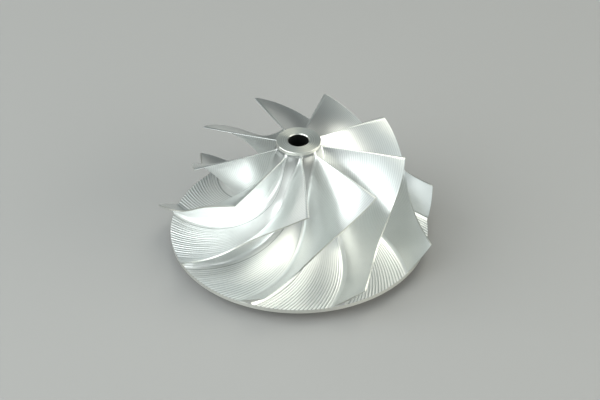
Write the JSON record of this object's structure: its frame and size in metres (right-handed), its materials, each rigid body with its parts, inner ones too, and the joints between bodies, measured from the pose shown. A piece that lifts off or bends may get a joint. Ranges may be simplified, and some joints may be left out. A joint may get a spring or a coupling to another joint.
{
  "type": "turbocharger compressor wheel",
  "caption": "Milled aluminium compressor wheel with swept full blades, a thin disc rim, a short nose boss and a through bore for the shaft.",
  "frame": {"origin": "centre of the shaft bore in the plane of the back boss, on which the wheel stands", "axes": "+Z along the shaft towards the nose and the intake; the blades trail clockwise seen from above; +X and +Y are any two square directions across the disc, with a leading edge 6.9 degrees clockwise of +X"},
  "size_m": [0.0822, 0.0822, 0.0364],
  "materials": {
    "milled_aluminium": "five-axis milled, satin, with fine tool marks that follow the air passages"
  },
  "bodies": {
    "root": {"compressor_wheel": "milled_aluminium"}
  },
  "joints": []
}
